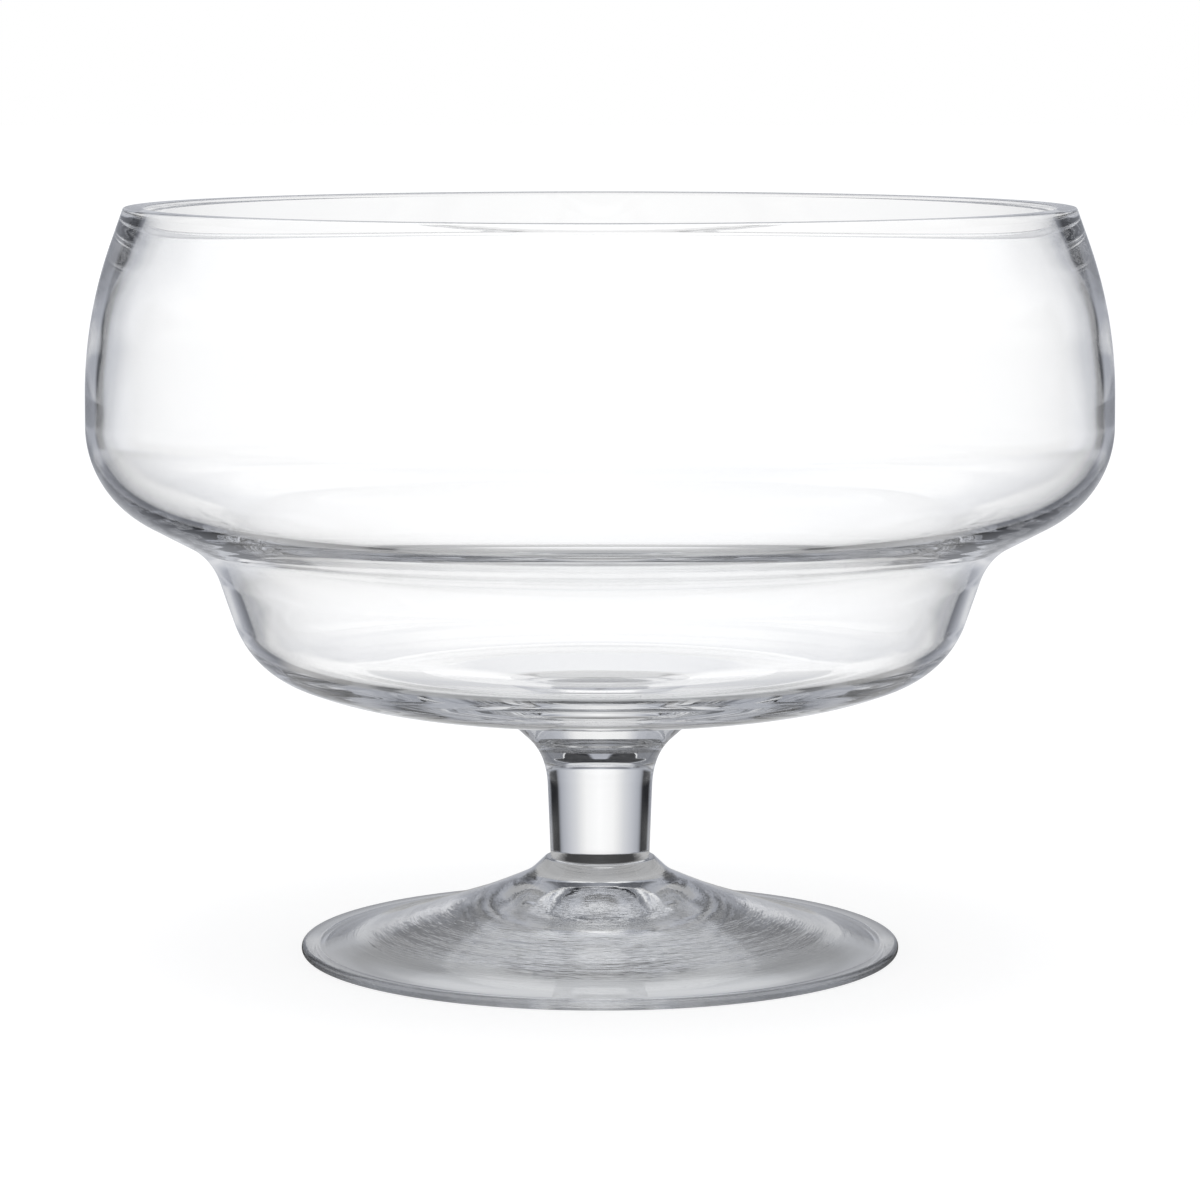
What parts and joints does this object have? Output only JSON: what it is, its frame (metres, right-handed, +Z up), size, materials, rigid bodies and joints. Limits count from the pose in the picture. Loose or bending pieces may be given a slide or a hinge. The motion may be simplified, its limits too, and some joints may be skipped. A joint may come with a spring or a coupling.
{
  "type": "trifle bowl",
  "caption": "Footed glass trifle bowl: a wide round bowl that steps in to a lower cup, on a short solid stem and a round foot.",
  "frame": {"origin": "middle of the foot's standing ring, on the table", "axes": "+Z up along the axis of the bowl, stem and foot; the object is round, so +X and +Y lie on the table in any direction"},
  "size_m": [0.24, 0.24, 0.176],
  "materials": {
    "clear_glass": "clear, fire polished"
  },
  "bodies": {
    "root": {"bowl": "clear_glass", "stem": "clear_glass", "foot": "clear_glass"}
  },
  "joints": []
}
